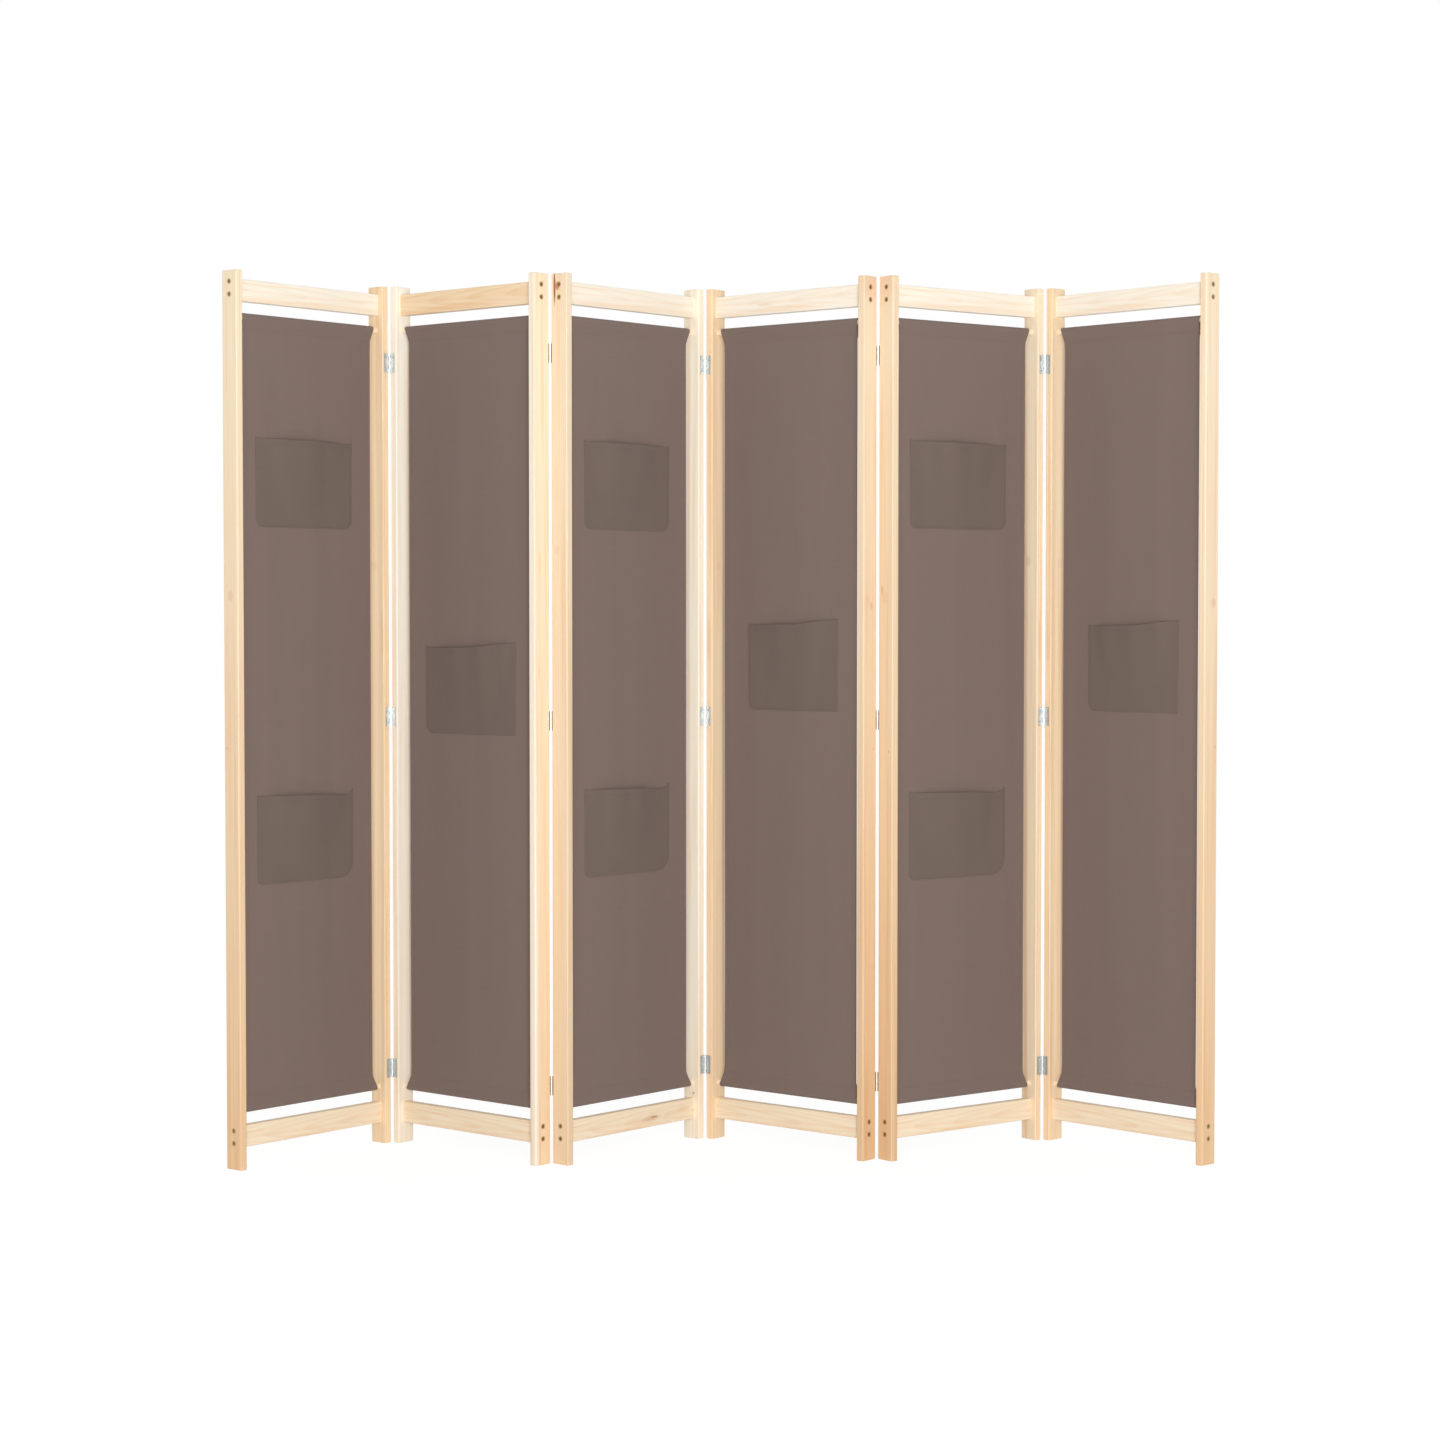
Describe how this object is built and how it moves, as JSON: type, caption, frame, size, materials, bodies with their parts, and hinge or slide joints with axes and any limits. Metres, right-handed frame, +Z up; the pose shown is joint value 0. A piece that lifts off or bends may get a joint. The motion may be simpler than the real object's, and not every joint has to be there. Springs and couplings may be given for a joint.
{
  "type": "folding screen",
  "caption": "Folding room divider: pine frames in a zigzag, each with a stretched brown cloth and sewn pockets, hinged so that they fold into a stack.",
  "frame": {"origin": "on the floor under the middle of the screen's bounding box, as it stands in its zigzag", "axes": "+X runs along the zigzag from the left end to the right, +Y points to the back, +Z is up"},
  "size_m": [1.8858, 0.384, 1.7],
  "materials": {
    "pine": "planed, clear and matt",
    "dowel_wood": "turned, unfinished",
    "cloth": "plain woven, matt",
    "pocket_cloth": "plain woven, matt",
    "screw_steel": "yellow zinc plated",
    "hinge_zinc": "bright zinc plated"
  },
  "bodies": {
    "panel_1": {"stile_left_1": "pine", "stile_right_1": "pine", "rail_top_1": "pine", "rail_bottom_1": "pine", "dowels_1": "dowel_wood", "fabric_1": "cloth", "pockets_1": "pocket_cloth", "screws_1": "screw_steel", "hinge_leaves_1": "hinge_zinc", "hinge_pins_1_2": "hinge_zinc"},
    "panel_2": {"stile_left_2": "pine", "stile_right_2": "pine", "rail_top_2": "pine", "rail_bottom_2": "pine", "dowels_2": "dowel_wood", "fabric_2": "cloth", "pockets_2": "pocket_cloth", "screws_2": "screw_steel", "hinge_leaves_2": "hinge_zinc", "hinge_pins_2_3": "hinge_zinc"},
    "panel_3": {"stile_left_3": "pine", "stile_right_3": "pine", "rail_top_3": "pine", "rail_bottom_3": "pine", "dowels_3": "dowel_wood", "fabric_3": "cloth", "pockets_3": "pocket_cloth", "screws_3": "screw_steel", "hinge_leaves_3": "hinge_zinc", "hinge_pins_3_4": "hinge_zinc"},
    "panel_4": {"stile_left_4": "pine", "stile_right_4": "pine", "rail_top_4": "pine", "rail_bottom_4": "pine", "dowels_4": "dowel_wood", "fabric_4": "cloth", "pockets_4": "pocket_cloth", "screws_4": "screw_steel", "hinge_leaves_4": "hinge_zinc", "hinge_pins_4_5": "hinge_zinc"},
    "panel_5": {"stile_left_5": "pine", "stile_right_5": "pine", "rail_top_5": "pine", "rail_bottom_5": "pine", "dowels_5": "dowel_wood", "fabric_5": "cloth", "pockets_5": "pocket_cloth", "screws_5": "screw_steel", "hinge_leaves_5": "hinge_zinc", "hinge_pins_5_6": "hinge_zinc"},
    "panel_6": {"stile_left_6": "pine", "stile_right_6": "pine", "rail_top_6": "pine", "rail_bottom_6": "pine", "dowels_6": "dowel_wood", "fabric_6": "cloth", "pockets_6": "pocket_cloth", "screws_6": "screw_steel", "hinge_leaves_6": "hinge_zinc"}
  },
  "joints": [
    {"name": "fold_1_2", "type": "hinge", "parent": "panel_1", "child": "panel_2", "pos_m": [-0.6598, 0.11604, 0.85], "axis": [0, 0, 1], "range_deg": [-88.1, 91.9]},
    {"name": "fold_2_3", "type": "hinge", "parent": "panel_2", "child": "panel_3", "pos_m": [-0.32895, -0.11458, 0.85], "axis": [0, 0, -1], "range_deg": [-89.5, 90.5]},
    {"name": "fold_3_4", "type": "hinge", "parent": "panel_3", "child": "panel_4", "pos_m": [-0.03583, 0.16242, 0.85], "axis": [0, 0, 1], "range_deg": [-90.1, 89.9]},
    {"name": "fold_4_5", "type": "hinge", "parent": "panel_4", "child": "panel_5", "pos_m": [0.29742, -0.06474, 0.85], "axis": [0, 0, -1], "range_deg": [-101.7, 78.3]},
    {"name": "fold_5_6", "type": "hinge", "parent": "panel_5", "child": "panel_6", "pos_m": [0.64025, 0.14766, 0.85], "axis": [0, 0, 1], "range_deg": [-95.3, 84.7]}
  ]
}
